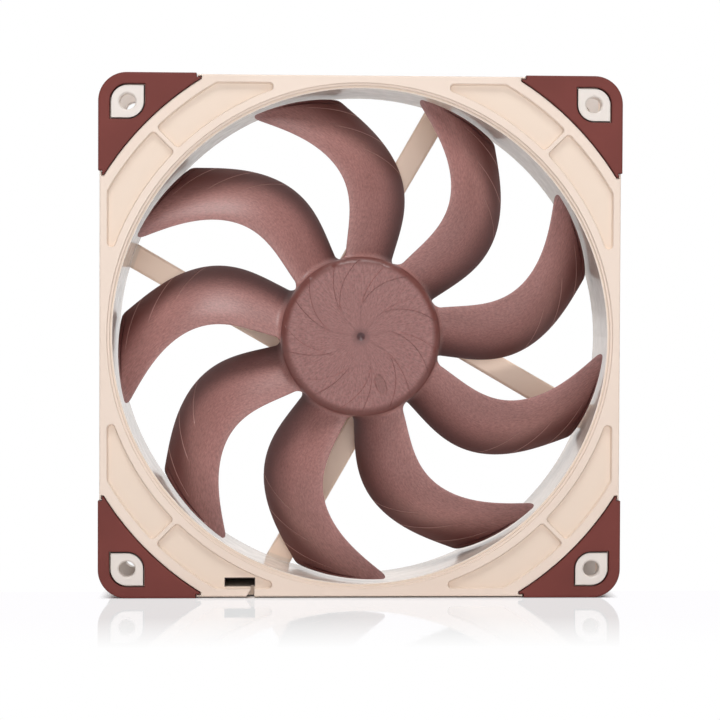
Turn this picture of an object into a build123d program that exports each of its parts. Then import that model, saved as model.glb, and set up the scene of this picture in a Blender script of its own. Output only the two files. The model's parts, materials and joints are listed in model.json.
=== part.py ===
from build123d import *
import math
import os

# 140 mm computer case fan: a moulded frame with slanted struts and corner pads, a nine-blade
# impeller on a steel shaft, and the motor between them.
#
# Every piece is modelled with the rotor axis along Z and the intake side up, and is turned at the
# end so that the fan stands upright: X to the right, Z up, intake facing -Y.
# Heights below are counted along the rotor axis from the middle of the frame's depth.

# ---------------------------------------------------------------- driving dimensions, mm
# Frame and pads
frame_side = 140.0            # width and height over the corner pads
frame_depth = 25.0            # depth over the corner pads
pad_side_stand = 0.38         # a pad stands this far out of the frame's side
pad_face_stand = 0.3          # and this far out of a flange face
hole_inset = 7.75             # mounting hole to the outside of the pads
hole_radius = 2.15
side_wall = 3.32              # bore to frame side, at the middle of a side
duct_wall = 2.2
flange_thickness = 3.6
pad_corner_radius = 7.6
pad_reach = 26.0              # how far a pad runs along each side from the corner
pad_tooth = 1.2               # the pad's pointed end runs this much further, behind a frame nub
nub_height = 0.75             # frame side to the pointed end
pad_arc_offset = 14.5         # bore to the pad's curved inner edge
pad_plate = 1.8               # thickness of the pad over the flange
pad_lip = 1.6                 # thickness of the pad down the flange's edge
pad_gap = 0.3                 # visible joint line round a pad
pad_edge_round = 0.5
boss_wall = 2.15              # least wall of the leaf-shaped boss round a hole
boss_gap = 0.42               # visible joint line round a boss
hole_chamfer = 0.35

# Stepped inlet and the sunk panels of the flanges
inlet_step = 0.7              # width of each of the two steps
inlet_step_depth = 0.5
panel_inner_offset = 3.7      # bore to the panel's inner edge
panel_outer_offset = 11.3     # bore to the panel's outer edge
panel_side_inset = 2.27       # frame side to the panel
panel_depth = 1.1
panel_rib = 1.6               # rib across the panels on each diagonal
panel_round = 0.9
panel_draft = 15.0            # degrees the panel's walls lean outward
flange_edge_round = 0.4

# Cable slot in the lower left of the front flange
slot_width = 7.8
slot_height = 2.2
slot_channel = 1.0            # narrow way from the slot out of the frame's lower edge
slot_left = -36.1
slot_rise = 2.55              # flange edge to the slot's lower side
slot_wall = 1.2               # walls of the closed channel behind the slot
tongue_bevel = 1.15           # width of the slanted end of the tongue under the slot
tongue_bevel_height = 1.9

# Struts and motor base
strut_count = 4
strut_angle = 60.0            # direction of the first strut
strut_offset = 12.0           # a strut's centre line passes this far from the axis
strut_width = 6.1
strut_flare = 0.6             # extra width where a strut meets the duct
strut_depth = 3.2
strut_round = 0.8
cable_strut = 2               # the strut with the cable groove, counted from the first
groove_width = 2.4
groove_depth = 2.2
groove_land = 0.6             # cover disc to the start of the cable groove
base_wall = 1.2
base_floor = 1.5
base_rim_height = 4.8
board_ledge = 1.3
board_stand = 1.7             # base floor to the board
cover_rim = 4.0               # base's edge to the cover disc
cover_thickness = 0.5

# Impeller
tip_gap = 0.7
blade_count = 9
blade_phase = 35.0            # direction of the first blade's tip
hub_radius = 21.5
hub_recess = 1.2              # front flange face to the hub's front face
skirt_gap = 1.0               # rim of the motor base to the hub's skirt
hub_wall = 1.4
hub_cap = 2.0
hub_round = 2.4
dimple_radius = 0.55
dimple_depth = 0.6
# Blade edges at equal steps from hub to tip: angle from the tip's direction, depth of the
# leading edge under the hub's front face, and rise of the trailing edge over the struts
lead_angles = (-14.0, -19.5, -18.05, -9.1, 2.0)
trail_angles = (-48.4, -46.1, -41.35, -31.4, -20.0)
lead_depths = (2.8, 2.0, 1.7, 1.6, 1.6)
trail_rises = (4.2, 2.4, 1.6, 1.4, 1.4)
root_thickness = 2.8
tip_thickness = 1.5
blade_camber = 0.08           # bulge of the section, as a share of its chord
section_steps = 8             # points along one side of a section, less one
section_count = 8             # sections lofted from hub to tip
loft_inside = 2.0             # the loft starts this far inside the hub's surface
loft_outside = 1.0            # and ends this far beyond the tip circle

# Motor
glue_gap = 0.05               # joint line between pieces fixed into each other
yoke_wall = 0.9
yoke_inset = 0.8              # hub skirt to the yoke's open end
magnet_wall = 2.2
magnet_inset = 1.0            # hub skirt to the magnet
magnet_front_gap = 3.5        # magnet to the yoke's end plate
air_gap = 0.4                 # magnet to stator
front_winding_gap = 1.95      # coils to the yoke's end plate
rear_winding_gap = 3.05       # coils to the board
core_ring = 2.6               # radial width of the core's and insulators' inner ring
arm_count = 4
arm_width = 3.6
shoe_thickness = 2.0
shoe_span = 74.0              # degrees of the bore that one pole shoe covers
insulator_plate = 0.8
insulator_wall = 1.7          # height of the walls that hold the coils back
insulator_wall_width = 0.9
insulator_inset = 0.3         # core's outer face to the insulator's
foot_length = 2.5             # core to the end of the insulator's foot on the base's seat
coil_start_gap = 0.4          # core's inner ring to a coil
coil_round = 1.26
winding_thickness = 1.8
pin_radius = 0.3
pin_circle = 8.2
pin_wall = 0.9                # moulded seat round a pin
pin_seat_depth = 1.0          # the seat stands this far under the insulator plate
pin_bridge = 1.2              # width of the web from the insulator's ring to a pin's seat
pin_stub = 0.5                # pin end behind the board
pin_hole_gap = 0.1            # round a pin in the board

# Bearing and shaft
shaft_radius = 1.5
running_gap = 0.02            # radial clearance of the shaft in its bush
tube_outer = 4.4
tube_wall = 0.9
tube_front_gap = 0.5          # bearing tube to the shaft insert
seal_recess = 0.6             # tube's front end to the oil seal
seal_thickness = 0.8
seal_gap = 0.3                # round the shaft
seat_wall = 1.5               # moulded seat round the bearing tube
thrust_pad_thickness = 0.6
ring_magnet_height = 1.2
ring_magnet_gap = 0.4         # round the shaft
clip_space = 1.5              # stabilising magnet to the bush, where the clip turns
clip_play = 0.5               # clip to bush
clip_thickness = 0.3
clip_width = 0.8              # the clip stands this far out of the shaft
clip_groove = 0.35            # depth of its groove in the shaft
clip_opening = 1.0
insert_wall = 2.7             # brass round the shaft
insert_length = 3.1
insert_boss_wall = 1.8
shaft_end_gap = 0.05          # shaft tip to thrust pad
shaft_end_round = 0.9

# Driver board: sizes along the radius, across it and high, and directions from +X
board_thickness = 0.8
board_inner_gap = 0.4         # board to the bearing tube's seat
chip_size = (5.0, 4.4, 1.0)
chip_angle = 150.0
sensor_size = (3.2, 2.0, 1.1)
sensor_angle = 45.0
capacitor_size = (3.2, 1.8, 1.3)
capacitor_angle = -45.0
resistor_size = (1.6, 0.8, 0.5)
resistor_count = 5
resistor_angle = 180.0        # of the first resistor
resistor_step = 14.0          # degrees to the next
resistor_inset = 3.0          # base's ledge to the row of resistors

# ---------------------------------------------------------------- derived sizes
half_side = frame_side / 2
half_depth = frame_depth / 2
flange_half = half_side - pad_side_stand
face_height = half_depth - pad_face_stand
flange_inner = face_height - flange_thickness
hole_place = half_side - hole_inset
bore_radius = flange_half - side_wall
duct_radius = bore_radius + duct_wall
pad_arc = bore_radius + pad_arc_offset
pad_end = half_side - pad_reach
boss_half = hole_radius + boss_wall
core_top = half_depth - pad_plate
core_half = half_side - pad_lip - pad_gap
core_corner = pad_corner_radius - pad_lip - pad_gap
tip_radius = bore_radius - tip_gap

# From the rear face forward
base_low = -face_height
base_inner = base_low + base_floor
base_rim = base_low + base_rim_height
base_radius = hub_radius
cover_radius = base_radius - cover_rim
strut_front = base_low + strut_depth
hub_skirt = base_rim + skirt_gap
board_radius = base_radius - base_wall - glue_gap
board_low = base_inner + board_stand
board_high = board_low + board_thickness
ledge_radius = base_radius - base_wall - board_ledge
thrust_top = base_inner + thrust_pad_thickness
ring_magnet_top = thrust_top + ring_magnet_height
bush_low = ring_magnet_top + clip_space
clip_low = bush_low - clip_play - clip_thickness
clip_high = clip_low + clip_thickness

# From the front face back
hub_front = face_height - hub_recess
cap_under = hub_front - hub_cap
yoke_under = cap_under - yoke_wall
insert_low = cap_under - insert_length
tube_top = insert_low - tube_front_gap
seal_top = tube_top - seal_recess
bush_top = seal_top - seal_thickness
lead_heights = [hub_front - depth for depth in lead_depths]
trail_heights = [strut_front + rise for rise in trail_rises]

# Motor, between the two
hub_inner = hub_radius - hub_wall
yoke_outer = hub_inner - glue_gap
magnet_outer = yoke_outer - yoke_wall - glue_gap
magnet_inner = magnet_outer - magnet_wall
magnet_low = hub_skirt + magnet_inset
magnet_high = yoke_under - magnet_front_gap
core_outer = magnet_inner - air_gap
core_bore = tube_outer + glue_gap
core_ring_radius = core_bore + core_ring
shoe_inner = core_outer - shoe_thickness
coil_end_height = insulator_plate + glue_gap + winding_thickness
core_low = board_high + rear_winding_gap + coil_end_height
core_high = yoke_under - front_winding_gap - coil_end_height
foot_low = core_low - foot_length
seat_radius = core_bore + seat_wall
tube_inner = tube_outer - tube_wall
bearing_outer = tube_inner - glue_gap
clip_radius = shaft_radius + clip_width
groove_radius = shaft_radius - clip_groove
insert_radius = shaft_radius + insert_wall
insert_boss = insert_radius + insert_boss_wall
pin_angles = [45 + 360 / arm_count * k for k in range(arm_count)]


# ---------------------------------------------------------------- helpers
def disc(radius, low, high):
    """A round solid about the axis between two heights."""
    body = Cylinder(radius, high - low, align=(Align.CENTER, Align.CENTER, Align.MIN))
    return Pos(0, 0, low) * body


def ring(outer, inner, low, high):
    return disc(outer, low, high) - disc(inner, low, high)


def block(x_low, x_high, y_low, y_high, low, high):
    body = Box(x_high - x_low, y_high - y_low, high - low, align=(Align.MIN,) * 3)
    return Pos(x_low, y_low, low) * body


def slab(outline, low, high):
    """A flat outline raised between two heights."""
    return Pos(0, 0, low) * extrude(outline, high - low)


def turned(shape, degrees):
    return Rot(0, 0, degrees) * shape


def around(shape, count, first=0.0):
    """The shape repeated about the axis, fused to one body."""
    copies = [turned(shape, first + 360 / count * k) for k in range(count)]
    body = copies[0]
    for copy in copies[1:]:
        body += copy
    return body


def edges_at(shape, height):
    """The edges that lie at one height."""
    return shape.edges().filter_by_position(Axis.Z, height - 0.01, height + 0.01)


def flipped(shape):
    """The shape on the rear flange instead of the front one."""
    return mirror(shape, about=Plane.XY)


def polar(radius, degrees):
    angle = math.radians(degrees)
    return radius * math.cos(angle), radius * math.sin(angle)


# ---------------------------------------------------------------- corner pads
def square(half, corner):
    return RectangleRounded(2 * half, 2 * half, corner)


def corner_region(grow, tooth=True):
    """The part of the upper right corner that a pad covers, grown by a joint line."""
    start = pad_end - grow
    reach = half_side - start + 1
    region = Pos(start, start) * Rectangle(reach, reach, align=(Align.MIN, Align.MIN))
    if tooth:
        height = flange_half - nub_height + grow - start
        length = pad_tooth + 1
        point = Rectangle(length, height, align=(Align.MIN, Align.MIN))
        region += Pos(start - pad_tooth, start) * point
        region += Pos(start, start - pad_tooth) * Rectangle(height, length, align=(Align.MIN, Align.MIN))
    return region - Circle(pad_arc - grow)


def leaf(half):
    """Boss outline: a circle with two opposite corners left square."""
    corner = Rectangle(half, half, align=(Align.MIN, Align.MIN))
    return Circle(half) + turned(corner, 90) + turned(corner, -90)


def make_pad():
    """Soft pad of the upper right front corner, with a window for the hole's boss."""
    body = slab(square(half_side, pad_corner_radius), flange_inner, half_depth)
    body = fillet(edges_at(body, half_depth), pad_edge_round)
    edge = corner_region(0, tooth=False) - square(core_half + pad_gap, core_corner + pad_gap)
    cover = slab(corner_region(0), core_top, half_depth) + slab(edge, flange_inner, core_top)
    pad = body & cover
    window = slab(leaf(boss_half + boss_gap), flange_inner - 1, half_depth + 1)
    return pad - Pos(hole_place, hole_place) * window


# ---------------------------------------------------------------- frame
def panel_outline():
    """Sunk panels of the upper right quarter: two, either side of the diagonal rib."""
    limit = flange_half - panel_side_inset
    quarter = Rectangle(limit, limit, align=(Align.MIN, Align.MIN))
    band = Circle(bore_radius + panel_outer_offset) - Circle(bore_radius + panel_inner_offset)
    rib = Rot(0, 0, 45) * Rectangle(4 * bore_radius, panel_rib)
    sunk = (band & quarter) - rib
    return offset(offset(sunk, -panel_round), panel_round)


def make_flange():
    """Front flange: plate, corner seats for the pads, bosses, holes, panels and inlet steps."""
    plate = slab(square(flange_half, pad_corner_radius), flange_inner, face_height)
    plate = fillet(edges_at(plate, face_height), flange_edge_round)
    top = face_height + 1
    seat = slab(corner_region(pad_gap), core_top, top)
    edge = corner_region(pad_gap, tooth=False) - square(core_half, core_corner)
    seat += slab(edge, flange_inner - 1, top)
    boss = Pos(hole_place, hole_place) * slab(leaf(boss_half), core_top, face_height)
    hole = disc(hole_radius, flange_inner - 1, top)
    mouth = Pos(0, 0, face_height - hole_chamfer) * Cone(
        hole_radius, hole_radius + 2 * hole_chamfer, 2 * hole_chamfer,
        align=(Align.CENTER, Align.CENTER, Align.MIN))
    drill = Pos(hole_place, hole_place) * (hole + mouth)
    panel = extrude(panel_outline(), 2 * panel_depth, taper=-panel_draft)
    panel = Pos(0, 0, face_height - panel_depth) * panel
    for k in range(4):
        plate -= turned(seat, 90 * k)
        plate += turned(boss, 90 * k)
        plate -= turned(drill, 90 * k)
        plate -= turned(panel, 90 * k)
    return plate


def make_strut():
    """One strut along +X, before it is turned to its direction."""
    reach = math.sqrt((bore_radius + duct_wall / 2) ** 2 - strut_offset ** 2)
    near = strut_width / 2
    far = near + strut_flare / 2
    outline = Polyline((0, -near), (reach, -far), (reach, far), (0, near), close=True)
    body = slab(make_face(outline), base_low, strut_front)
    sides = [edge for edge in edges_at(body, strut_front) if edge.length > strut_width * 2]
    return Pos(0, strut_offset) * fillet(sides, strut_round)


def make_cable_groove():
    """Open groove along the rear of one strut, out through the duct wall."""
    start = cover_radius + groove_land
    width = groove_width / 2
    groove = block(start, duct_radius + 2, -width, width, base_low - 1, base_low + groove_depth)
    return Pos(0, strut_offset) * groove


def cable_slot_cut():
    """L-shaped slot: deep across, and only through the flange where it leaves at the lower edge."""
    edge = -flange_half
    low = edge + slot_rise
    right = slot_left + slot_width
    tip = right - slot_channel
    cut = block(slot_left, right, low, low + slot_height, -flange_inner, face_height + 1)
    cut += block(tip, right, edge - 1, low + slot_height / 2, flange_inner, face_height + 1)
    bevel = Polyline((tip, edge + tongue_bevel_height), (tip - tongue_bevel, edge),
                     (tip - tongue_bevel, edge - 1), (tip, edge - 1), close=True)
    return cut + slab(make_face(bevel), flange_inner, face_height + 1)


def cable_slot_walls():
    """Closed channel behind the slot, between the flanges."""
    low = -flange_half
    high = -flange_half + slot_rise + slot_height + slot_wall
    left = slot_left - slot_wall
    right = slot_left + slot_width + slot_wall
    return block(left, right, low, high, -flange_inner, flange_inner)


def make_base():
    """Motor base: a shallow cup with a ledge for the board and a seat for the bearing tube."""
    cup = disc(base_radius, base_low, base_rim)
    cup -= disc(base_radius - base_wall, board_low, base_rim)
    cup -= disc(ledge_radius, base_inner, base_rim)
    cup += ring(seat_radius, core_bore, base_inner, foot_low)
    return cup


def make_frame():
    flange = make_flange()
    body = flange + flipped(flange)
    body += cable_slot_walls()
    body += disc(duct_radius, -flange_inner, flange_inner)
    body -= disc(bore_radius, -face_height - 1, face_height + 1)
    for width, depth in ((inlet_step, 2 * inlet_step_depth), (2 * inlet_step, inlet_step_depth)):
        body -= disc(bore_radius + width, face_height - depth, face_height + 1)
    step_angle = 360 / strut_count
    struts = around(make_strut(), strut_count, strut_angle)
    struts -= disc(ledge_radius, base_low, strut_front)
    body += struts
    body += make_base()
    body -= turned(make_cable_groove(), strut_angle + step_angle * cable_strut)
    body -= disc(cover_radius + glue_gap, base_low - 1, base_low + cover_thickness)
    return body - cable_slot_cut()


def make_rear_cover():
    return disc(cover_radius, base_low, base_low + cover_thickness)


# ---------------------------------------------------------------- impeller
def span_value(values, radius):
    """Smooth curve through values given at equal steps from hub to tip."""
    steps = len(values) - 1
    place = (radius - hub_radius) / (tip_radius - hub_radius) * steps
    total = 0.0
    for i, value in enumerate(values):
        share = 1.0
        for j in range(steps + 1):
            if j != i:
                share *= (place - j) / (i - j)
        total += value * share
    return total


def section_edge(angles, heights, distance, middle):
    """Where a blade edge crosses the flat section plane at a distance from the axis."""
    radius = distance
    for _ in range(4):
        swing = math.radians(span_value(angles, radius) - middle)
        radius = distance / math.cos(swing)
    return distance * math.tan(swing), span_value(heights, radius)


def blade_section(distance):
    """Closed cambered section in the plane that faces the axis at a distance."""
    middle = (span_value(lead_angles, distance) + span_value(trail_angles, distance)) / 2
    lead = section_edge(lead_angles, lead_heights, distance, middle)
    trail = section_edge(trail_angles, trail_heights, distance, middle)
    chord_x, chord_z = lead[0] - trail[0], lead[1] - trail[1]
    span = (distance - hub_radius) / (tip_radius - hub_radius)
    thickness = root_thickness + (tip_thickness - root_thickness) * min(max(span, 0), 1)
    chord = math.hypot(chord_x, chord_z)
    stations = [(1 - math.cos(math.pi * k / section_steps)) / 2 for k in range(section_steps + 1)]
    front, rear = [], []
    for t in stations:
        bulge = 4 * t * (1 - t) * blade_camber * chord
        half = thickness / 2 * math.sqrt(max(0.0, 1 - abs(2 * t - 1) ** 3))
        for side, line in ((1, front), (-1, rear)):
            lift = (bulge + side * half) / chord
            u = trail[0] + t * chord_x - lift * chord_z
            z = trail[1] + t * chord_z + lift * chord_x
            line.append((u, z))
    across_x, across_y = polar(1, middle + 90)
    out_x, out_y = polar(distance, middle)
    sides = []
    for line in (front, rear):
        points = [Vector(out_x + u * across_x, out_y + u * across_y, z) for u, z in line]
        sides.append(Edge.make_spline(points))
    return Wire(sides)


def make_blade():
    """One blade whose tip points along +X, trimmed to the hub and to the tip circle."""
    inside = hub_radius - loft_inside
    step = (tip_radius + loft_outside - inside) / (section_count - 1)
    places = [inside + step * k for k in range(section_count)]
    body = Solid.make_loft([blade_section(place) for place in places])
    return body & ring(tip_radius, hub_inner + hub_wall / 2, -half_depth, half_depth)


def make_impeller():
    """Hub cup and blades, one moulding, with a boss for the shaft insert."""
    hub = disc(hub_radius, hub_skirt, hub_front)
    hub = fillet(edges_at(hub, hub_front), hub_round)
    hub -= disc(hub_inner, hub_skirt, cap_under)
    hub += ring(insert_boss, insert_radius + glue_gap, insert_low, cap_under)
    hub -= disc(dimple_radius, hub_front - dimple_depth, hub_front)
    blade = make_blade()
    return hub + [turned(blade, blade_phase + 360 / blade_count * k) for k in range(blade_count)]


# ---------------------------------------------------------------- rotor
def make_yoke():
    """Steel flux cup glued inside the hub."""
    cup = ring(yoke_outer, yoke_outer - yoke_wall, hub_skirt + yoke_inset, cap_under)
    return cup + ring(yoke_outer, insert_boss + glue_gap, yoke_under, cap_under)


def make_ring_magnet():
    return ring(magnet_outer, magnet_inner, magnet_low, magnet_high)


def make_shaft():
    """Steel shaft with a domed end and a groove for the retaining clip."""
    low = thrust_top + shaft_end_gap
    body = disc(shaft_radius, low, cap_under)
    body = fillet(edges_at(body, low), shaft_end_round)
    return body - ring(shaft_radius + 1, groove_radius, clip_low, clip_high)


def make_shaft_insert():
    return ring(insert_radius, shaft_radius, insert_low, cap_under)


def make_clip():
    """Snap ring in the shaft's groove, open on one side."""
    half = clip_opening / 2
    body = ring(clip_radius, groove_radius, clip_low, clip_high)
    return body - block(0, clip_radius + 1, -half, half, clip_low - 1, clip_high + 1)


# ---------------------------------------------------------------- bearing
def make_bearing_tube():
    return ring(tube_outer, tube_inner, base_inner, tube_top)


def make_bush():
    return ring(bearing_outer, shaft_radius + running_gap, bush_low, bush_top)


def make_oil_seal():
    return ring(bearing_outer, shaft_radius + seal_gap, bush_top, seal_top)


def make_thrust_pad():
    return disc(bearing_outer, base_inner, thrust_top)


def make_stabilising_magnet():
    return ring(bearing_outer, shaft_radius + ring_magnet_gap, thrust_top, ring_magnet_top)


# ---------------------------------------------------------------- stator
def arms(low, high, shoe_inset=0.0):
    """Inner ring, four arms and four pole shoes between two heights."""
    outer = core_outer - shoe_inset
    half = arm_width / 2
    body = ring(core_ring_radius, core_bore, low, high)
    arm = block(core_bore + core_ring / 2, shoe_inner + shoe_thickness / 2, -half, half, low, high)
    shoe = ring(outer, shoe_inner, low, high)
    half_span = math.radians(shoe_span / 2)
    reach = 2 * core_outer
    wedge = Polyline((0, 0), (reach * math.cos(half_span), -reach * math.sin(half_span)),
                     (reach * math.cos(half_span), reach * math.sin(half_span)), close=True)
    shoe &= slab(make_face(wedge), low, high)
    body += around(arm + shoe, arm_count)
    return body - disc(core_bore, low, high)


def insulator_walls(low, high):
    """Walls at the pole shoes that hold the coils back."""
    half = shoe_inner / 2
    wall = ring(shoe_inner + insulator_wall_width, shoe_inner, low, high)
    return around(wall & block(0, core_outer, -half, half, low, high), arm_count)


def make_front_insulator():
    plate_top = core_high + insulator_plate
    return arms(core_high, plate_top, insulator_inset) + insulator_walls(core_high, plate_top + insulator_wall)


def make_rear_insulator():
    """Plate, walls, foot round the bearing tube, and a seat for each terminal pin."""
    plate_low = core_low - insulator_plate
    half = pin_bridge / 2
    body = arms(plate_low, core_low, insulator_inset)
    body += insulator_walls(plate_low - insulator_wall, core_low)
    body += ring(seat_radius, core_bore, foot_low, core_low)
    bridge = block(core_bore + core_ring / 2, pin_circle, -half, half, plate_low, core_low)
    seat = disc(pin_radius + pin_wall, plate_low - pin_seat_depth, core_low)
    hole = disc(pin_radius, foot_low - 1, core_low)
    for angle in pin_angles:
        body += turned(bridge + Pos(pin_circle, 0) * seat, angle)
        body -= turned(Pos(pin_circle, 0) * hole, angle)
    return body


def make_coil():
    """Winding round one arm, along +X."""
    inner_half = arm_width / 2 + glue_gap
    outer_half = inner_half + winding_thickness
    low = core_low - insulator_plate - glue_gap
    high = core_high + insulator_plate + glue_gap
    start = core_ring_radius + coil_start_gap
    end = math.sqrt(shoe_inner ** 2 - outer_half ** 2) - glue_gap
    outer = block(start, end, -outer_half, outer_half, low - winding_thickness, high + winding_thickness)
    outer = fillet(outer.edges().filter_by(Axis.X), coil_round)
    return outer - block(start, end, -inner_half, inner_half, low, high)


def make_terminal_pins():
    """Four pins from the rear insulator through the board."""
    pin = Pos(pin_circle, 0) * disc(pin_radius, board_low - pin_stub, core_low)
    return Compound(children=[turned(pin, angle) for angle in pin_angles])


# ---------------------------------------------------------------- driver board
def make_board():
    board = ring(board_radius, seat_radius + board_inner_gap, board_low, board_high)
    hole = Pos(pin_circle, 0) * disc(pin_radius + pin_hole_gap, board_low - 1, board_high + 1)
    for angle in pin_angles:
        board -= turned(hole, angle)
    return board


def component(size, radius, degrees, low):
    """A small rectangular component on the board."""
    body = Box(*size, align=(Align.CENTER, Align.CENTER, Align.MIN))
    return turned(Pos(radius, 0, low) * body, degrees)


def make_driver_chip():
    return component(chip_size, (seat_radius + ledge_radius) / 2, chip_angle, board_low - chip_size[2])


def make_sensor():
    return component(sensor_size, (magnet_inner + magnet_outer) / 2, sensor_angle, board_high)


def make_capacitor():
    return component(capacitor_size, (seat_radius + ledge_radius) / 2, capacitor_angle, board_high)


def make_resistors():
    radius = ledge_radius - resistor_inset
    low = board_low - resistor_size[2]
    return Compound(children=[component(resistor_size, radius, resistor_angle + resistor_step * k, low)
                              for k in range(resistor_count)])


# ---------------------------------------------------------------- all pieces
def make_parts():
    pieces = {"frame": make_frame(), "rear_cover_disc": make_rear_cover()}
    pad = make_pad()
    for k, corner in enumerate(("upper_right", "upper_left", "lower_left", "lower_right")):
        pieces["front_pad_" + corner] = turned(pad, 90 * k)
        pieces["rear_pad_" + corner] = turned(flipped(pad), 90 * k)
    pieces["impeller"] = make_impeller()
    pieces["steel_yoke"] = make_yoke()
    pieces["rotor_magnet"] = make_ring_magnet()
    pieces["shaft"] = make_shaft()
    pieces["shaft_insert"] = make_shaft_insert()
    pieces["shaft_clip"] = make_clip()
    pieces["bearing_tube"] = make_bearing_tube()
    pieces["bearing_bush"] = make_bush()
    pieces["oil_seal"] = make_oil_seal()
    pieces["thrust_pad"] = make_thrust_pad()
    pieces["stabilising_magnet"] = make_stabilising_magnet()
    pieces["stator_core"] = arms(core_low, core_high)
    pieces["front_insulator"] = make_front_insulator()
    pieces["rear_insulator"] = make_rear_insulator()
    coil = make_coil()
    for k in range(arm_count):
        pieces["coil_" + str(k + 1)] = turned(coil, 360 / arm_count * k)
    pieces["terminal_pins"] = make_terminal_pins()
    pieces["driver_board"] = make_board()
    pieces["driver_chip"] = make_driver_chip()
    pieces["position_sensor"] = make_sensor()
    pieces["capacitor"] = make_capacitor()
    pieces["resistors"] = make_resistors()
    return pieces


os.makedirs("parts", exist_ok=True)
for name, piece in make_parts().items():
    upright = Rot(90, 0, 0) * piece
    export_step(upright, "parts/" + name + ".step")
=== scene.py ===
import json
import math

import bmesh
import bpy
import numpy as np
from mathutils import Matrix, Vector


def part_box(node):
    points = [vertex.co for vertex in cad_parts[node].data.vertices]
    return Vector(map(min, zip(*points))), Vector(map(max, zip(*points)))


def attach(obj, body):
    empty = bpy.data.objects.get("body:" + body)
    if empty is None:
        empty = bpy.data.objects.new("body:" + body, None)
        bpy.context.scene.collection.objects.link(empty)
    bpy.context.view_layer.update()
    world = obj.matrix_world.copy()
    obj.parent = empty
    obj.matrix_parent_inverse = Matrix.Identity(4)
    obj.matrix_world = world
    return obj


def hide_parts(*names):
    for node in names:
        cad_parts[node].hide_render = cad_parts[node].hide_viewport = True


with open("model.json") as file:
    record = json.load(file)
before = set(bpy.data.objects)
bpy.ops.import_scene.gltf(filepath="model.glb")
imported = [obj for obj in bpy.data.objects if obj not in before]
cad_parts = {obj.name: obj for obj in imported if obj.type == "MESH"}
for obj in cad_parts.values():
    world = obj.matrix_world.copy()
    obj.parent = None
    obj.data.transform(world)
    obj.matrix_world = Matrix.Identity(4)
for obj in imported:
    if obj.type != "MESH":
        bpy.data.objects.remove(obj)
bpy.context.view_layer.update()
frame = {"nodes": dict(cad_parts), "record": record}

MM = 0.001

# The rotor axis is Y and the intake faces -Y. Heights below are counted from the middle of the
# frame's depth towards the intake, and angles anticlockwise from +X as seen from the intake.
HUB_FRONT = -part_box("impeller")[0].y / MM
FRAME_LOW, FRAME_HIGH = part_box("frame")
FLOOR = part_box("front_pad_lower_left")[0].z
PAD_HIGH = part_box("front_pad_upper_right")[1]

# ---------------------------------------------------------------- impeller sizes, mm and degrees
HUB_RADIUS = 21.5
HUB_SKIRT = -6.4
HUB_INNER = 20.1
CAP_UNDER = 9.0
INSERT_BOSS = (4.25, 6.0, 5.9)          # inner radius, outer radius, rear end
HUB_ROUND = 2.4
HUB_BREAK = 0.3                         # broken edge of the skirt
# Pit in the middle of the hub's face: radius and depth
DIMPLE = ((0.0, 0.9), (0.3, 0.88), (0.75, 0.45), (1.05, 0.22), (1.15, 0.16), (1.9, 0.03), (2.2, 0.0))
FACE_START = 2.4                        # the flat face starts at this radius
TIP_RADIUS = 65.6
BLADES = 9
SHARP_ANGLE = 40.0                      # edges that turn more than this are shaded as corners
BLADE_PHASE = 35.0
LEAD_ANGLES = (-14.0, -19.5, -18.05, -9.1, 2.0)
TRAIL_ANGLES = (-48.4, -46.1, -41.35, -31.4, -20.0)
LEAD_HEIGHTS = (8.2, 9.0, 9.3, 9.4, 9.4)
TRAIL_HEIGHTS = (-4.8, -6.6, -7.4, -7.6, -7.6)
ROOT_THICKNESS = 2.6
TIP_THICKNESS = 1.4
CAMBER = 0.08
ROOT_FILLET = 1.7
TIP_CORNER = 1.9                        # rounding of the leading tip corner
TIP_EDGE = 0.3
# Flow grooves: radius at the trailing edge, and how far across the blade they run
GROOVES = ((45.8, 0.52), (53.5, 0.54), (60.7, 0.55))
GROOVE_HALF = 0.24
GROOVE_DEPTH = 0.2
GROOVE_END = 0.09                       # a groove runs out over this share of the blade's width
# Rows of the blade mesh lean outward as the grooves do: radius and lean, mm
LEAN = ((21.5, 0.0), (45.8, 13.0), (53.5, 9.6), (60.7, 6.9), (65.6, 0.0))
LEAN_FADE = 0.42
# Winglet along the tip: radius and height over the blade's surface
WINGLET = ((63.3, 0.0), (63.7, -0.15), (64.0, -0.4), (64.3, -0.1), (64.6, 0.25), (65.0, 0.34), (65.6, 0.25))
WINGLET_SPAN = (0.02, 0.1, 0.62, 0.86)  # fades in and out across the blade

# Swirl wedges of the hub face
WEDGE_START = 8.0                       # radius of a wedge's point
WEDGE_POINT = 170.5                     # its angle
WEDGE_SWEEPS = (-41.6, -21.9)           # turn of its two sides from the point to the hub's edge
WEDGE_HEIGHT = 0.22
WEDGE_EDGE = 0.2                        # width of a wedge's sloping side
WEDGE_RUN = 2.5                         # a wedge rises over this length at its point
WEDGE_END = 0.6                         # and falls over this length at the hub's edge
WEDGE_STEPS, FACE_STEPS = 4, 7          # columns on a wedge and between two wedges
# Plain oval recess low on the hub's face: centre, half sizes and tilt
MARK_PLACE = (5.4, -12.9)
MARK_HALF = (1.35, 3.0)
MARK_TILT = -20.0
MARK_DEPTH = 0.16

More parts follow.
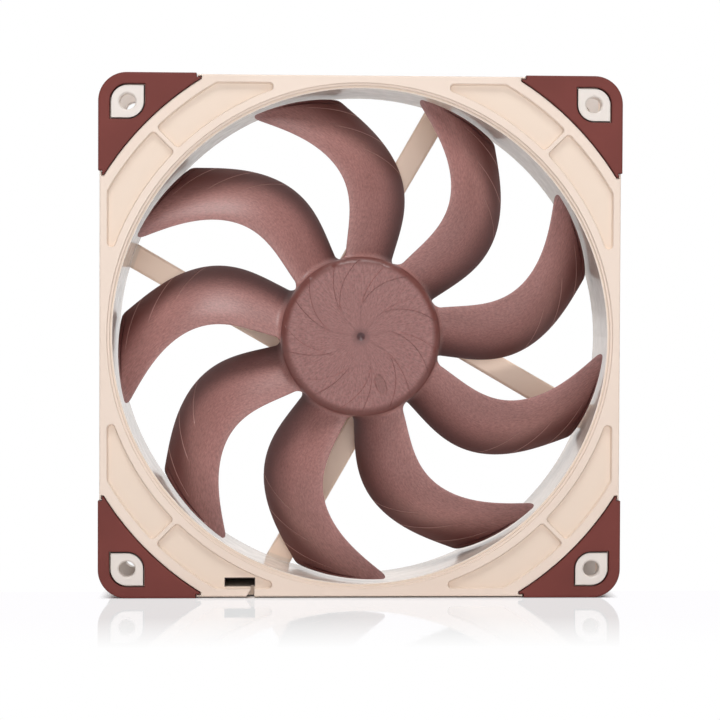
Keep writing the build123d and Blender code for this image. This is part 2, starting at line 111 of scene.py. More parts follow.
# ---------------------------------------------------------------- areas of the frame, mm, and colours
BORE_RADIUS = 66.3
BORE_FADE = (-0.4, -0.2, 0.1, 0.3)      # the bore's look fades in and out, from its radius
STRUT_FADE = (-1.5, -1.0)               # inside this is the struts' look, from the bore's radius
FACE_HEIGHT = -FRAME_LOW.y / MM
SUNK_FADE = (0.8, 0.5)                  # depth under the face where the sunk areas' painted shade fades out
BOSS_REACH = 4.5                        # half side of the square round a screw hole's boss
HOLE_CLEAR = 2.7                        # the painted shade in the gap round each boss lies outside this radius
GAP_DEPTH = 3.0                         # and reaches down to here
SLOT_LOW = (-36.3, -11.4, -67.0)        # corners of the box painted in dark shade inside the slot
SLOT_HIGH = (-28.1, 8.8, -64.6)
BEIGE = ((0.845, 0.69, 0.585), (0.875, 0.725, 0.62))
# Sunk areas are coloured a little darker as painted shade
BEIGE_SUNK_SHADE = (0.845, 0.69, 0.57)
BEIGE_BOSS = (0.82, 0.745, 0.69)
BEIGE_STRUT = (0.97, 0.76, 0.61)
BEIGE_BORE = ((0.86, 0.74, 0.645), (0.90, 0.80, 0.72))
# Painted shade in the gaps round the bosses
GAP_SHADE_COLOUR = (0.06, 0.025, 0.02)
# Painted shade inside the slot
SLOT_SHADE_COLOUR = (0.035, 0.018, 0.014)
PAD_COLOUR = (0.182, 0.044, 0.036)

# ---------------------------------------------------------------- areas of the impeller, and colours
HUB_COLOUR = (0.27, 0.108, 0.098)
# Painted shade on the hub: its rounded rim and the pit in the middle of its face are coloured darker. From
# and to radius, strength and colour
HUB_PAINTED_SHADES = (
    (18.6, 20.4, 0.85, (0.15, 0.042, 0.034)),
    (3.2, 1.3, 0.4, (0.10, 0.045, 0.045)),
    (1.3, 0.9, 0.75, (0.09, 0.045, 0.05)),
)
MARK_COLOUR = (0.17, 0.06, 0.05)
MARK_STRENGTH = 0.35
BLADE_COLOURS = ((0.32, 0.145, 0.13), (0.38, 0.175, 0.158))
# Towards the tips a blade is darker, and the painted shade on its rear part reaches further forward: from and
# to radius
TIP_SHADE = (48.0, 63.0)
TIP_COLOUR = (0.195, 0.078, 0.07)
TIP_DELAY = 0.2                         # how much further the painted shade reaches, as a share of the blade's width
# Painted shade: the rear part of a blade's front is coloured darker and redder, and is also duller. Where
# across that fades
TRAIL_SHADE = (0.1, 0.65)
TRAIL_SHADE_STRENGTH = 0.9
TRAIL_SHADE_COLOUR = (0.10, 0.018, 0.014)
TRAIL_DULL = 0.25
# Fibres in the plastic: factors of dark and pale dots, and strength and colour of the streaks
DOT_FACTORS = (0.78, 1.26)
STREAK_PALE = (0.45, (0.46, 0.25, 0.23))
STREAK_DARK = (0.3, (0.13, 0.045, 0.04))
STREAK_RADIUS = 11.0                    # the hub's streaks are true to size at this radius
BLADE_STREAK_STEP = 40.0                # each blade's streaks start this far along the pattern
GROOVE_TINT = (0.75, (0.42, 0.23, 0.20))    # strength and colour of the flow grooves
# Painted shade in the hollow at the foot of the winglet: radius, strength and colour
WINGLET_GROOVE = 64.0
WINGLET_SHADE = (0.65, (0.06, 0.024, 0.02))


# ---------------------------------------------------------------- node material helpers
class Maker:
    """Builds one node material step by step."""

    def __init__(self, name, edge=None):
        self.mat = bpy.data.materials.new(name)
        self.mat.use_nodes = True
        self.nodes = self.mat.node_tree.nodes
        self.links = self.mat.node_tree.links
        self.shader = self.nodes["Principled BSDF"]
        self.coords = self.add("ShaderNodeTexCoord")
        if edge:
            rounded = self.add("ShaderNodeBevel", samples=4)
            rounded.inputs["Radius"].default_value = edge
            self.link(rounded.outputs["Normal"], self.shader.inputs["Normal"])

    def add(self, kind, **settings):
        node = self.nodes.new(kind)
        for key, value in settings.items():
            setattr(node, key, value)
        return node

    def link(self, source, target):
        self.links.new(source, target)

    def place_vector(self, vector, scale):
        mapping = self.add("ShaderNodeMapping")
        mapping.inputs["Scale"].default_value = scale
        self.link(vector, mapping.inputs["Vector"])
        return mapping.outputs["Vector"]

    def place(self, scale=(1, 1, 1)):
        return self.place_vector(self.coords.outputs["Object"], scale)

    def uv(self, layer):
        return self.add("ShaderNodeUVMap", uv_map=layer).outputs["UV"]

    def mix_value(self, share, first, second):
        node = self.add("ShaderNodeMix", data_type="FLOAT")
        for socket, value in zip(node.inputs[:1] + node.inputs[2:4], (share, first, second)):
            self.link(value, socket)
        return node.outputs[0]

    def noise(self, vector, scale, detail=3.0, rough=0.5):
        node = self.add("ShaderNodeTexNoise")
        node.inputs["Scale"].default_value = scale
        node.inputs["Detail"].default_value = detail
        node.inputs["Roughness"].default_value = rough
        self.link(vector, node.inputs["Vector"])
        return node.outputs["Fac"]

    def spread(self, value, low, high, start=0.3, end=0.7):
        """Runs from low to high while the value runs from start to end, and stays there."""
        node = self.add("ShaderNodeMapRange")
        node.inputs["From Min"].default_value = start
        node.inputs["From Max"].default_value = end
        node.inputs["To Min"].default_value = low
        node.inputs["To Max"].default_value = high
        self.link(value, node.inputs["Value"])
        return node.outputs["Result"]

    def smooth(self, value, low, high, start, end):
        node = self.spread(value, low, high, start, end).node
        node.interpolation_type = "SMOOTHSTEP"
        return node.outputs["Result"]

    def inside_box(self, place, low, high):
        """1 inside a box given in mm."""
        inside = None
        for value, start, end in zip(place, low, high):
            for operation, limit in (("GREATER_THAN", start), ("LESS_THAN", end)):
                test = self.math(operation, value, limit * MM)
                inside = test if inside is None else self.math("MULTIPLY", inside, test)
        return inside

    def math(self, operation, first, second):
        node = self.add("ShaderNodeMath", operation=operation)
        for socket, value in zip(node.inputs, (first, second)):
            if isinstance(value, (int, float)):
                socket.default_value = value
            else:
                self.link(value, socket)
        return node.outputs[0]

    def length(self, values):
        """Length of a flat vector from its two parts."""
        squares = [self.math("MULTIPLY", value, value) for value in values]
        return self.math("SQRT", self.math("ADD", *squares), 0)

    def parts(self, vector):
        node = self.add("ShaderNodeSeparateXYZ")
        self.link(vector, node.inputs[0])
        return node.outputs

    def mix(self, share, first, second):
        node = self.add("ShaderNodeMix", data_type="RGBA")
        for socket, value in zip((node.inputs[0], node.inputs[6], node.inputs[7]), (share, first, second)):
            if isinstance(value, (int, float)):
                socket.default_value = value
            elif isinstance(value, tuple):
                socket.default_value = value + (1.0,)
            else:
                self.link(value, socket)
        return node.outputs[2]

    def blend(self, share, first, second):
        node = self.add("ShaderNodeMixShader")
        self.link(share, node.inputs[0])
        self.link(first, node.inputs[1])
        self.link(second, node.inputs[2])
        return node.outputs[0]

    def bump(self, height, distance):
        """Adds relief on top of any that is there; the distance is its full height in metres."""
        node = self.add("ShaderNodeBump")
        node.inputs["Strength"].default_value = 1.0
        node.inputs["Distance"].default_value = distance
        self.link(height, node.inputs["Height"])
        if self.shader.inputs["Normal"].links:
            self.link(self.shader.inputs["Normal"].links[0].from_socket, node.inputs["Normal"])
        self.link(node.outputs["Normal"], self.shader.inputs["Normal"])

    def set(self, **values):
        for key, value in values.items():
            socket = self.shader.inputs[key.replace("_", " ")]
            if isinstance(value, tuple):
                value = value + (1.0,) if len(value) == 3 else value
            if isinstance(value, bpy.types.NodeSocket):
                self.link(value, socket)
            else:
                socket.default_value = value


def shade(colour, factor):
    return tuple(min(1.0, channel * factor) for channel in colour)


def moulded(name, colour, roughness, grain=0.4 * MM, relief=0.004 * MM, tone=0.05, edge=None):
    """Moulded plastic or rubber: slight tone drift, fine grain, uneven gloss."""
    make = Maker(name, edge)
    place = make.place()
    drift = make.noise(place, 60.0, 2.0)
    make.set(Base_Color=make.mix(make.spread(drift, 0, 1), shade(colour, 1 - tone), shade(colour, 1 + tone)))
    fine = make.noise(place, 1 / grain, 3.0)
    make.set(Roughness=make.spread(fine, roughness - 0.04, roughness + 0.04))
    make.bump(fine, relief)
    return make


def metal(name, colour, roughness, stretch, scale):
    """Turned, drawn or ground metal with fine lines round or along the piece."""
    make = Maker(name)
    lines = make.noise(make.place(scale=stretch), scale, 4.0, 0.6)
    make.set(Base_Color=make.mix(make.spread(lines, 0, 1), shade(colour, 0.85), shade(colour, 1.1)))
    make.set(Roughness=make.spread(lines, roughness - 0.07, roughness + 0.07), Metallic=1.0)
    make.bump(lines, 0.003 * MM)
    return make


# ---------------------------------------------------------------- the fan's materials
def hole_place():
    """Screw holes stand on a square; half its side, in metres, from the record."""
    for mount in frame["record"]["mounts"]:
        if mount["name"] == "front_screws":
            return mount["dims"]["spacing_x_mm"] / 2 * MM
    raise ValueError("the record has no front_screws mount")


def frame_material():
    """Beige plastic: paler bosses round the holes, a little painted shade on sunk areas, dark painted shade
    in the gaps round the bosses and inside the slot, a polished bore.
    """
    make = Maker("frame_plastic", edge=0.3 * MM)
    place = make.place()
    x, y, z = make.parts(make.coords.outputs["Object"])
    depth = make.math("ABSOLUTE", y, 0)
    radius = make.length((x, z))
    off_hole = [make.math("ABSOLUTE", make.math("SUBTRACT", make.math("ABSOLUTE", value, 0), hole_place()), 0)
                for value in (x, z)]
    in_start, in_end, out_start, out_end = ((BORE_RADIUS + fade) * MM for fade in BORE_FADE)
    bore = make.math("MULTIPLY", make.spread(radius, 1, 0, out_start, out_end),
                     make.spread(radius, 0, 1, in_start, in_end))
    struts = make.spread(radius, 1, 0, *((BORE_RADIUS + fade) * MM for fade in STRUT_FADE))
    sunk = make.spread(depth, 1, 0, *((FACE_HEIGHT - fade) * MM for fade in SUNK_FADE))
    boss = make.math("LESS_THAN", make.math("MAXIMUM", *off_hole), BOSS_REACH * MM)
    # Painted shade: the narrow gap round each boss is coloured dark below the face
    gap_shade = make.math("MULTIPLY", make.math("MULTIPLY", boss, sunk),
                    make.math("GREATER_THAN", make.length(off_hole), HOLE_CLEAR * MM))
    gap_shade = make.math("MULTIPLY", gap_shade, make.math("GREATER_THAN", depth, (FACE_HEIGHT - GAP_DEPTH) * MM))
    # Painted shade: the inside of the slot is coloured dark
    slot = make.inside_box((x, y, z), SLOT_LOW, SLOT_HIGH)

    beige = make.mix(make.spread(make.noise(place, 30.0, 2.0), 0, 1), *BEIGE)
    # Painted shade: sunk areas a little darker, the gaps round the bosses and the slot's inside dark. Bosses
    # and struts get their own tone.
    for area, colour in ((sunk, BEIGE_SUNK_SHADE), (boss, BEIGE_BOSS), (gap_shade, GAP_SHADE_COLOUR),
                         (struts, BEIGE_STRUT), (slot, SLOT_SHADE_COLOUR)):
        beige = make.mix(area, beige, colour)
    wave = make.noise(place, 260.0, 2.0)
    make.set(Base_Color=make.mix(bore, beige, make.mix(make.spread(wave, 0, 1), *BEIGE_BORE)))
    fine = make.noise(place, 2600.0, 3.0)
    make.set(Roughness=make.mix_value(bore, make.spread(fine, 0.34, 0.42), make.spread(wave, 0.12, 0.24)))
    make.set(Coat_Weight=make.math("MULTIPLY", bore, 0.15), Coat_Roughness=0.08)
    make.bump(fine, 0.003 * MM)
    make.bump(make.math("MULTIPLY", wave, bore), 0.05 * MM)
    return make.mat


def pad_material():
    """Matt silicone with a faint bloom on its rounded edges."""
    make = moulded("pad_silicone", PAD_COLOUR, 0.55, grain=0.5 * MM, tone=0.07, edge=0.7 * MM)
    make.set(Specular_IOR_Level=0.22)
    return make.mat


def mark_reach(make):
    """Distance from the middle of the hub's oval mark, 1 at its rim."""
    mark = make.add("ShaderNodeMapping", vector_type="TEXTURE")
    mark.inputs["Location"].default_value = (MARK_PLACE[0] * MM, 0, MARK_PLACE[1] * MM)
    mark.inputs["Rotation"].default_value = (0, math.radians(MARK_TILT), 0)
    mark.inputs["Scale"].default_value = (MARK_HALF[0] * MM, 1000, MARK_HALF[1] * MM)
    make.link(make.coords.outputs["Object"], mark.inputs["Vector"])
    reach = make.add("ShaderNodeVectorMath", operation="LENGTH")
    make.link(mark.outputs["Vector"], reach.inputs[0])
    return reach.outputs["Value"]


def fibre_colour(make, ground, mottle, streak):
    """The plastic's colour with dots and streaks of fibre in it."""
    low, high = ((factor,) * 3 for factor in DOT_FACTORS)
    dotted = make.add("ShaderNodeMix", data_type="RGBA", blend_type="MULTIPLY")
    dotted.inputs[0].default_value = 1.0
    make.link(ground, dotted.inputs[6])
    make.link(make.mix(make.spread(mottle, 0, 1, 0.38, 0.66), low, high), dotted.inputs[7])
    strength, colour = STREAK_PALE
    pale = make.mix(make.spread(streak, 0, strength, 0.46, 0.76), dotted.outputs[2], colour)
    strength, colour = STREAK_DARK
    return make.mix(make.spread(streak, strength, 0, 0.28, 0.46), pale, colour)


def impeller_material():
    """Fibre-filled plastic: streaks along the melt's flow and groove lines, with painted shade on the rear
    part of each blade, in the winglets' hollows, on the hub's rim and in its pit.
    """
    make = Maker("impeller_plastic")
    flow = make.uv("flow")
    streak = make.noise(make.place_vector(flow, (1.0, 0.12, 1.0)), 3.4, 4.0, 0.7)
    mottle = make.noise(make.place_vector(flow, (1.0, 0.6, 1.0)), 2.0, 4.0, 0.75)
    cloud = make.noise(make.place_vector(flow, (1.0, 0.4, 1.0)), 0.16, 2.0)
    row, across, _ = make.parts(make.uv("lines"))
    front = make.math("GREATER_THAN", across, 0.0)
    hub = make.math("LESS_THAN", across, 0.0)

    ground = make.mix(make.spread(cloud, 0, 1), *BLADE_COLOURS)
    ground = make.mix(make.spread(row, 0, 1, *TIP_SHADE), ground, TIP_COLOUR)
    ground = make.mix(front, HUB_COLOUR, ground)
    colour = fibre_colour(make, ground, mottle, streak)

    # Painted shade: a dark band along the hollow at the foot of each winglet
    away = make.math("ABSOLUTE", make.math("SUBTRACT", row, WINGLET_GROOVE), 0)
    hollow_shade = make.math("MULTIPLY", make.spread(away, 1, 0, 0.15, 0.6), make.spread(across, 1, 0, 0.45, 0.8))
    strength, tint = WINGLET_SHADE
    hollow_shade = make.math("MULTIPLY", make.math("MULTIPLY", hollow_shade, front), strength)
    colour = make.mix(hollow_shade, colour, tint)

    # Painted shade: the rear part of each blade's front is coloured darker, reaching further forward towards
    # the tips
    late = make.math("SUBTRACT", across, make.spread(row, 0, TIP_DELAY, *TIP_SHADE))
    trail = make.math("MULTIPLY", front, make.smooth(late, 1, 0, *TRAIL_SHADE))
    colour = make.mix(make.math("MULTIPLY", trail, TRAIL_SHADE_STRENGTH), colour, TRAIL_SHADE_COLOUR)

    groove = None
    for radius, end in GROOVES:
        away = make.math("ABSOLUTE", make.math("SUBTRACT", row, radius), 0)
        near = make.spread(away, 1, 0, GROOVE_HALF * 0.4, GROOVE_HALF * 1.15)
        near = make.math("MULTIPLY", near, make.spread(across, 1, 0, end - 0.08, end))
        groove = near if groove is None else make.math("MAXIMUM", groove, near)
    strength, tint = GROOVE_TINT
    colour = make.mix(make.math("MULTIPLY", make.math("MULTIPLY", groove, front), strength), colour, tint)

    x, _, z = make.parts(make.coords.outputs["Object"])
    from_axis = make.length((x, z))
    # Painted shade: darker rings on the hub's rounded rim and in its pit
    for start, end, strength, tint in HUB_PAINTED_SHADES:
        ring_shade = make.math("MULTIPLY", hub, make.smooth(from_axis, 0, strength, start * MM, end * MM))
        colour = make.mix(ring_shade, colour, tint)
    reach = mark_reach(make)
    within = make.math("MULTIPLY", hub, make.spread(reach, MARK_STRENGTH, 0, 0.85, 1.05))
    make.set(Base_Color=make.mix(within, colour, MARK_COLOUR))

    dull = make.math("MULTIPLY", trail, TRAIL_DULL)
    make.set(Roughness=make.math("ADD", make.spread(mottle, 0.36, 0.50), dull), Specular_IOR_Level=0.6)
    make.bump(streak, 0.012 * MM)
    make.bump(mottle, 0.02 * MM)
    make.bump(make.spread(reach, 0, 1, 0.88, 1.08), MARK_DEPTH * MM)
    return make.mat


# Pieces that the hub and the motor base hide. Colour and roughness, then the tone drift of a
# plastic, or the stretch and scale of a metal's lines.
PLASTICS = {
    "cover_plastic": ((0.20, 0.09, 0.07), 0.5, 0.05),
    "magnet": ((0.07, 0.07, 0.075), 0.6, 0.15),
    "seal_rubber": ((0.03, 0.03, 0.03), 0.6, 0.05),
    "thrust_plastic": ((0.80, 0.79, 0.75), 0.35, 0.05),
    "insulator_plastic": ((0.80, 0.78, 0.70), 0.4, 0.05),
    "board": ((0.03, 0.17, 0.08), 0.3, 0.1),
    "chip_plastic": ((0.02, 0.02, 0.02), 0.45, 0.05),
    "capacitor_ceramic": ((0.50, 0.38, 0.22), 0.3, 0.05),
    "resistor_ceramic": ((0.05, 0.05, 0.06), 0.3, 0.05),
}
METALS = {
    "yoke_steel": ((0.55, 0.55, 0.56), 0.35, (1, 12, 1), 900.0),
    "shaft_steel": ((0.72, 0.72, 0.73), 0.15, (1, 12, 1), 900.0),
    "brass": ((0.72, 0.53, 0.22), 0.25, (1, 12, 1), 900.0),
    "sintered_bronze": ((0.50, 0.34, 0.18), 0.5, (1, 1, 1), 2500.0),
    "lamination_steel": ((0.42, 0.43, 0.45), 0.4, (1, 30, 1), 500.0),
    "copper_wire": ((0.60, 0.25, 0.10), 0.3, (20, 1, 20), 160.0),
    "pin_metal": ((0.70, 0.68, 0.62), 0.3, (1, 12, 1), 900.0),
}


def simple_materials():
    found = {slot: moulded(slot, colour, roughness, tone=tone).mat
             for slot, (colour, roughness, tone) in PLASTICS.items()}
    found.update({slot: metal(slot, *looks).mat for slot, looks in METALS.items()})
    return found


# ---------------------------------------------------------------- impeller mesh
def along(values, radius):
    """Smooth curve through values given at equal steps from hub to tip."""
    steps = len(values) - 1
    place = (radius - HUB_RADIUS) / (TIP_RADIUS - HUB_RADIUS) * steps
    total = 0.0
    for i, value in enumerate(values):
        share = 1.0
        for j in range(steps + 1):
            if j != i:
                share = share * (place - j) / (i - j)
        total = total + value * share
    return total


def ease(value, start, end):
    """Rises smoothly from 0 at start to 1 at end."""
    x = np.clip((value - start) / (end - start), 0.0, 1.0)
    return x * x * (3 - 2 * x)


def rounding(radius, depth):
    """How far a quarter round of that radius falls back at a depth into it."""
    x = np.clip(depth, 0.0, radius)
    return radius - np.sqrt(radius * radius - x * x)


def blade_rows():
    """Starting radii of the blade's rows, dense at the fillet, the grooves and the winglet."""
    rows = [HUB_RADIUS - 1.0 + 0.25 * k for k in range(13)]
    rows += list(np.arange(HUB_RADIUS + 2.5, TIP_RADIUS - 2.8, 0.9))
    for radius, _ in GROOVES:
        rows = [r for r in rows if abs(r - radius) > 2 * GROOVE_HALF]
        rows += [radius + GROOVE_HALF * k / 2 for k in range(-3, 4)]
    rows += [radius for radius, _ in WINGLET]
    rows += [TIP_RADIUS - TIP_EDGE * (1 - math.sin(math.radians(a))) for a in (10, 30, 50, 70, 90)]
    return np.unique(np.round(rows, 4))


def blade_columns(count=56):
    steps = np.arange(count + 1) / count
    return 0.35 * steps + 0.65 * (1 - np.cos(math.pi * steps)) / 2


def blade_relief(row, across):
    """Height of grooves and winglet over the plain blade, by starting radius and place across."""
    relief = np.zeros_like(row)
    for radius, end in GROOVES:
        depth = np.clip(1 - np.abs(row - radius) / GROOVE_HALF, 0, 1)
        relief = relief - GROOVE_DEPTH * depth * (1 - ease(across, end - GROOVE_END, end))
    radii, heights = zip(*WINGLET)
    rim = np.interp(row, radii, heights)
    fade_in = ease(across, WINGLET_SPAN[0], WINGLET_SPAN[1])
    fade_out = 1 - ease(across, WINGLET_SPAN[2], WINGLET_SPAN[3])
    return relief + rim * fade_in * fade_out


def blade_side(row, across, side):
    """Points of the blade's front (side 1) or rear (side -1): radius, angle, height."""
    radii, leans = zip(*LEAN)
    lean = np.interp(row, radii, leans)
    radius = row + lean * across * (1 - LEAN_FADE * across)
    radius = np.where(row >= TIP_RADIUS, TIP_RADIUS, radius)
    fillet = ROOT_FILLET - np.clip(radius - HUB_RADIUS, 0, ROOT_FILLET)
    flare = ROOT_FILLET - np.sqrt(ROOT_FILLET ** 2 - fillet ** 2)
    lead_back = rounding(TIP_CORNER, radius - (TIP_RADIUS - TIP_CORNER)) - flare
    trail_back = rounding(TIP_CORNER * 0.5, radius - (TIP_RADIUS - TIP_CORNER * 0.5)) - flare
    lead = np.radians(along(LEAD_ANGLES, radius)) - lead_back / radius
    trail = np.radians(along(TRAIL_ANGLES, radius)) + trail_back / radius
    low, high = along(TRAIL_HEIGHTS, radius), along(LEAD_HEIGHTS, radius)
    width, rise = radius * (lead - trail), high - low
    chord = np.hypot(width, rise)
    span = np.clip((radius - HUB_RADIUS) / (TIP_RADIUS - HUB_RADIUS), 0, 1)
    thickness = ROOT_THICKNESS + (TIP_THICKNESS - ROOT_THICKNESS) * span
    blunt = np.sqrt(np.clip(1 - np.abs(2 * across - 1) ** 3, 0, 1))
    edge = np.clip(radius - (TIP_RADIUS - TIP_EDGE), 0, TIP_EDGE) / TIP_EDGE
    half = (thickness / 2 + flare) * blunt - TIP_EDGE * (1 - np.sqrt(1 - edge ** 2)) * blunt
    lift = 4 * across * (1 - across) * CAMBER * chord + side * half
    if side > 0:
        lift = lift + blade_relief(row, across) * blunt
    u = across * width - lift * rise / chord
    z = low + across * rise + lift * width / chord
    return radius, trail + u / radius, z, chord


def grid_faces(rows, around):
    """Faces of a tube of points, row by row."""
    return [(i * around + j, i * around + k, (i + 1) * around + k, (i + 1) * around + j)
            for i in range(rows - 1) for j in range(around) for k in [(j + 1) % around]]


def place_points(radius, angle, height):
    """Points in the row frame, in metres, from radius, angle (radians) and height, in mm."""
    return np.stack([radius * np.cos(angle), -height, radius * np.sin(angle)], -1) * MM


def blade_mesh(turn):
    """Vertices, faces and streak coordinates of one blade turned to its place."""
    rows, columns = blade_rows(), blade_columns()
    row, across = np.meshgrid(rows, columns, indexing="ij")
    loops, coords = [], []
    for side in (1, -1):
        radius, angle, height, chord = blade_side(row, across, side)
        loops.append(place_points(radius, angle + turn, height))
        place = across if side > 0 else 0 * across - 1
        coords.append(np.stack([across * chord, radius, row, place], -1))
    points = np.concatenate([loops[0], loops[1][:, -2:0:-1]], axis=1)
    streaks = np.concatenate([coords[0], coords[1][:, -2:0:-1]], axis=1)
    count, around = points.shape[:2]
    faces = grid_faces(count, around)
    last = len(columns) - 1
    for base, turned_over in ((0, True), ((count - 1) * around, False)):
        for j in range(last):
            other = [(around - j) % around, around - j - 1]
            face = [base + j, base + j + 1, base + other[1], base + other[0]]
            if j == 0:
                face = [base, base + 1, base + around - 1]
            elif j == last - 1:
                face = [base + j, base + last, base + last + 1]
            faces.append(tuple(reversed(face)) if turned_over else tuple(face))
    return points.reshape(-1, 3), faces, streaks.reshape(-1, 4)


def hub_profile():
    """Outline of the hub from its centre over the front and the skirt to the inside: radius, height."""
    front = HUB_FRONT
    points = [(r, front - depth) for r, depth in DIMPLE]
    points += [(r, front) for r in np.linspace(FACE_START, HUB_RADIUS - HUB_ROUND, 26)]
    for a in (12, 24, 36, 48, 60, 70, 80, 90):
        swing = math.radians(a)
        points.append((HUB_RADIUS - HUB_ROUND * (1 - math.sin(swing)),
                       front - HUB_ROUND * (1 - math.cos(swing))))
    points += [(HUB_RADIUS, z) for z in np.linspace(front - HUB_ROUND - 0.4, HUB_SKIRT + HUB_BREAK, 10)]
    halfway = 0.3 * HUB_BREAK
    points += [(HUB_RADIUS - halfway, HUB_SKIRT + halfway), (HUB_RADIUS - HUB_BREAK, HUB_SKIRT)]
    points += [(HUB_INNER + 0.2, HUB_SKIRT), (HUB_INNER, HUB_SKIRT + 0.2), (HUB_INNER, CAP_UNDER)]
    inner, outer, end = INSERT_BOSS
    points += [(outer, CAP_UNDER), (outer, end), (inner, end), (inner, CAP_UNDER), (0.0, CAP_UNDER)]
    return points


def wedge_columns(radius):
    """Angles and wedge heights of the hub's columns at a radius, one sector after another."""
    share = max(0.0, (radius - WEDGE_START) / (HUB_RADIUS - WEDGE_START))
    first, second = (WEDGE_POINT + sweep * share for sweep in WEDGE_SWEEPS)
    edge = math.degrees(WEDGE_EDGE / max(radius, 2.0))
    middle = (first + second) / 2
    first, second = min(first, middle - edge * 0.75), max(second, middle + edge * 0.75)
    rise = WEDGE_HEIGHT * min(1.0, max(0.0, (radius - WEDGE_START) / WEDGE_RUN))
    if radius >= HUB_RADIUS - WEDGE_END:
        rise = WEDGE_HEIGHT * max(0.0, (HUB_RADIUS - radius) / WEDGE_END)
    marks = [(first - edge / 2, 0.0), (first + edge / 2, 1.0)]
    marks += [(first + (second - first) * k / WEDGE_STEPS, 1.0) for k in range(1, WEDGE_STEPS)]
    marks += [(second - edge / 2, 1.0), (second + edge / 2, 0.0)]
    start, end = second + edge / 2, first - edge / 2 + 360 / BLADES
    marks += [(start + (end - start) * k / FACE_STEPS, 0.0) for k in range(1, FACE_STEPS)]
    return [(math.radians(angle), rise * height) for angle, height in marks]


def hub_mesh():
    """Vertices, faces and streak coordinates of the hub, with the swirl wedges on its face."""
    profile = hub_profile()
    front_rows = next(i for i, p in enumerate(profile) if p[1] < HUB_FRONT - HUB_ROUND - 0.1)
    points, streaks, around = [], [], 0
    for i, (radius, height) in enumerate(profile):
        columns = wedge_columns(radius if i < front_rows else HUB_RADIUS)
        around = len(columns) * BLADES
        for k in range(BLADES):
            for angle, rise in columns:
                turn = angle + math.radians(360 / BLADES * k)
                lift = rise if i < front_rows else 0.0
                tilt = min(1.0, max(0.0, (radius - HUB_RADIUS + HUB_ROUND) / HUB_ROUND))
                up = height + lift * (1 - tilt ** 2)
                points.append((radius * math.cos(turn), -up, radius * math.sin(turn)))
                streaks.append((turn * STREAK_RADIUS, radius + (HUB_FRONT - height), 0.0, -1.0))
    return np.array(points) * MM, grid_faces(len(profile), around), np.array(streaks)


def make_object(name, points, faces, streaks):
    """Mesh object with two coordinate layers: "flow" for the fibres, "lines" for row and place across."""
    mesh = bpy.data.meshes.new(name)
    mesh.from_pydata([tuple(p) for p in points], [], faces)
    index = np.zeros(len(mesh.loops), np.int64)
    mesh.loops.foreach_get("vertex_index", index)
    for layer_name, columns in (("flow", (0, 1)), ("lines", (2, 3))):
        layer = mesh.uv_layers.new(name=layer_name)
        layer.data.foreach_set("uv", np.asarray(streaks, np.float32)[index][:, columns].ravel())
    mesh.validate()
    piece = bpy.data.objects.new(name, mesh)
    bpy.context.scene.collection.objects.link(piece)
    bm_clean(mesh)
    mesh.polygons.foreach_set("use_smooth", [True] * len(mesh.polygons))
    mesh.set_sharp_from_angle(angle=math.radians(SHARP_ANGLE))
    return piece


def bm_clean(mesh):
    """Welds doubled points and makes the faces look outward."""
    bm = bmesh.new()
    bm.from_mesh(mesh)
    bmesh.ops.remove_doubles(bm, verts=bm.verts, dist=0.0005 * MM)
    bmesh.ops.dissolve_degenerate(bm, dist=0.0002 * MM, edges=bm.edges)
    bmesh.ops.recalc_face_normals(bm, faces=bm.faces)
    bm.to_mesh(mesh)
    bm.free()


def make_impeller(material):
    """The whole moulding, in place of the CAD impeller."""
    points, faces, streaks = hub_mesh()
    for k in range(BLADES):
        turn = math.radians(BLADE_PHASE + 360 / BLADES * k)
        more, cells, coords = blade_mesh(turn)
        faces += [tuple(v + len(points) for v in cell) for cell in cells]
        points = np.concatenate([points, more])
        streaks = np.concatenate([streaks, coords + [BLADE_STREAK_STEP * k, 0.0, 0.0, 0.0]])
    piece = make_object("impeller_moulding", points, faces, streaks)
    piece.data.materials.append(material)
    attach(piece, "rotor")
    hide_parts("impeller")


# ---------------------------------------------------------------- stage, light and camera
MIRROR_SHARE = 0.27          # strength of the table's mirror image
MIRROR_FULL = 0.045          # it starts to fade this far in front of the fan's middle, metres
MIRROR_REACH = 0.089         # and is gone here
MIRROR_TINT = (0.97, 0.93, 0.99)
TABLE_COLOUR = (0.93, 0.93, 0.94)
SHADE_INSET = 0.004          # the shaded floor fades out over this width inside the fan's sides
FLOOR_SIZE = 6.0


def floor_material():
    """Glossy white table: shaded under the fan, and its mirror image fades towards the viewer."""
    make = Maker("floor_white")
    make.set(Base_Color=TABLE_COLOUR, Roughness=0.5)
    x, y, _ = make.parts(make.coords.outputs["Object"])
    ahead = make.spread(make.math("ABSOLUTE", y, 0), 0, 1, FRAME_HIGH.y, FRAME_HIGH.y + MM)
    beside = make.spread(make.math("ABSOLUTE", x, 0), 0, 1, PAD_HIGH.x - SHADE_INSET, PAD_HIGH.x)
    clear = make.math("MAXIMUM", ahead, beside)
    mirror = make.math("MULTIPLY", make.spread(y, 0, MIRROR_SHARE, -MIRROR_REACH, -MIRROR_FULL),
                       make.math("LESS_THAN", y, 0.0))
    ripple = make.noise(make.place(), 220.0, 2.0)
    glow = make.add("ShaderNodeEmission")
    glow.inputs["Color"].default_value = (1.0, 1.0, 1.0, 1.0)
    gloss = make.add("ShaderNodeBsdfGlossy")
    gloss.inputs["Color"].default_value = MIRROR_TINT + (1.0,)
    make.link(make.spread(ripple, 0.02, 0.09), gloss.inputs["Roughness"])
    shown = make.blend(mirror, glow.outputs[0], gloss.outputs[0])
    path = make.add("ShaderNodeLightPath")
    seen = make.math("MULTIPLY", path.outputs["Is Camera Ray"], clear)
    final = make.blend(seen, make.shader.outputs[0], shown)
    make.link(final, make.nodes["Material Output"].inputs["Surface"])
    return make.mat


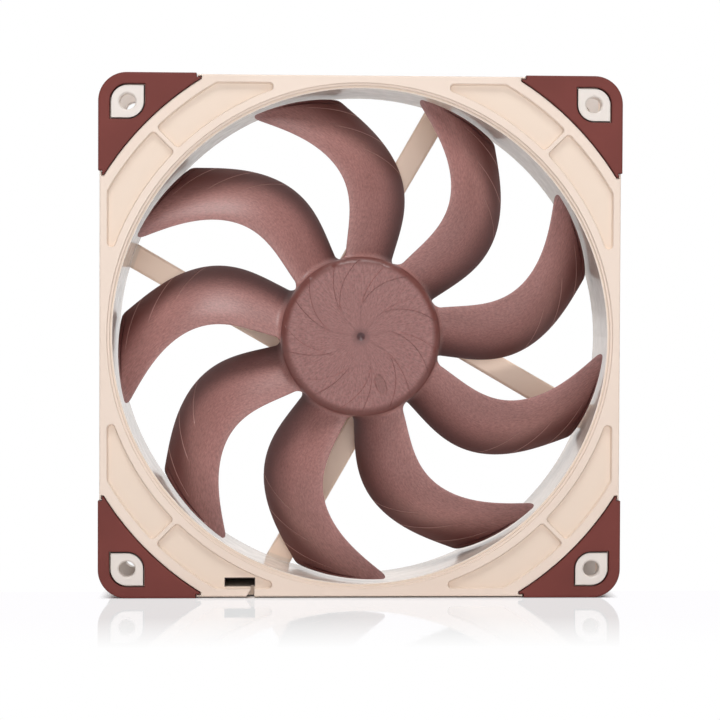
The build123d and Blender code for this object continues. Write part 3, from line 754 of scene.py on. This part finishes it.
def make_stage():
    bpy.ops.mesh.primitive_plane_add(size=FLOOR_SIZE, location=(0, 0, FLOOR))
    floor = bpy.context.object
    floor.name = "floor"
    floor.data.materials.append(floor_material())


# World light: strength behind the fan and elsewhere, and where it changes, from side (0) to behind (1)
WORLD_BEHIND, WORLD_AROUND = 1.0, 0.07
WORLD_FADE = (0.05, 0.55)
WORLD_WHITE = (1.0, 1.0, 1.0, 1.0)


def make_world():
    """White for the camera; as a light, white behind the fan and dim all round it."""
    world = bpy.data.worlds.new("studio")
    bpy.context.scene.world = world
    world.use_nodes = True
    nodes, links = world.node_tree.nodes, world.node_tree.links
    split = nodes.new("ShaderNodeSeparateXYZ")
    links.new(nodes.new("ShaderNodeTexCoord").outputs["Generated"], split.inputs[0])
    fade = nodes.new("ShaderNodeMapRange")
    for socket, value in zip(("From Min", "From Max", "To Min", "To Max"),
                             (*WORLD_FADE, WORLD_AROUND, WORLD_BEHIND)):
        fade.inputs[socket].default_value = value
    links.new(split.outputs["Y"], fade.inputs["Value"])
    seen = nodes.new("ShaderNodeMath")
    seen.operation = "MAXIMUM"
    links.new(fade.outputs["Result"], seen.inputs[0])
    links.new(nodes.new("ShaderNodeLightPath").outputs["Is Camera Ray"], seen.inputs[1])
    links.new(seen.outputs[0], nodes["Background"].inputs["Strength"])
    nodes["Background"].inputs["Color"].default_value = WORLD_WHITE


# Area lights aimed at the fan's middle: name, place and size in metres, power in watts
LIGHTS = (
    ("front", (0.05, -1.30, 0.18), (1.5, 1.2), 10.2),
    ("key", (-0.05, -0.55, 1.15), (0.6, 0.4), 9.0),
)


def make_lights():
    for name, place, size, power in LIGHTS:
        data = bpy.data.lights.new(name, "AREA")
        data.shape = "RECTANGLE"
        data.size, data.size_y = size
        data.energy = power
        lamp = bpy.data.objects.new(name, data)
        bpy.context.scene.collection.objects.link(lamp)
        lamp.location = place
        lamp.rotation_euler = (-Vector(place)).to_track_quat("-Z", "Y").to_euler()


# Camera: place in mm, turn, tilt and roll in degrees, and focal length on a 36 mm sensor
CAMERA_PLACE = (-19.7, -512.5, 4.1)
CAMERA_TURN = 2.225
CAMERA_TILT = -1.182
CAMERA_ROLL = 0.22
CAMERA_LENS = 93.7


def make_camera():
    """Camera that stands where the photograph was taken from."""
    turn, tilt = math.radians(CAMERA_TURN), math.radians(CAMERA_TILT)
    ahead = Vector((math.sin(turn) * math.cos(tilt), math.cos(turn) * math.cos(tilt), math.sin(tilt)))
    right = ahead.cross(Vector((0, 0, 1))).normalized()
    up = right.cross(ahead)
    roll = math.radians(CAMERA_ROLL)
    across = right * math.cos(roll) + up * math.sin(roll)
    over = up * math.cos(roll) - right * math.sin(roll)
    data = bpy.data.cameras.new("camera")
    data.lens = CAMERA_LENS
    data.clip_start = 0.01
    camera = bpy.data.objects.new("camera", data)
    bpy.context.scene.collection.objects.link(camera)
    pose = Matrix((across, over, -ahead)).transposed().to_4x4()
    pose.translation = Vector(CAMERA_PLACE) * MM
    camera.matrix_world = pose
    bpy.context.scene.camera = camera


# ---------------------------------------------------------------- build
def dress_cad_nodes(materials):
    """Gives each CAD node that stays visible the material of its slot."""
    for part in frame["record"]["subparts"]:
        node = frame["nodes"][part["node"]]
        node.data.materials.clear()
        node.data.materials.append(materials[part["material_slot"]])


fan_materials = simple_materials()
fan_materials["frame_plastic"] = frame_material()
fan_materials["pad_silicone"] = pad_material()
fan_materials["impeller_plastic"] = impeller_material()
dress_cad_nodes(fan_materials)
make_impeller(fan_materials["impeller_plastic"])
make_stage()
make_world()
make_lights()
make_camera()
bpy.context.scene.view_settings.view_transform = "Standard"
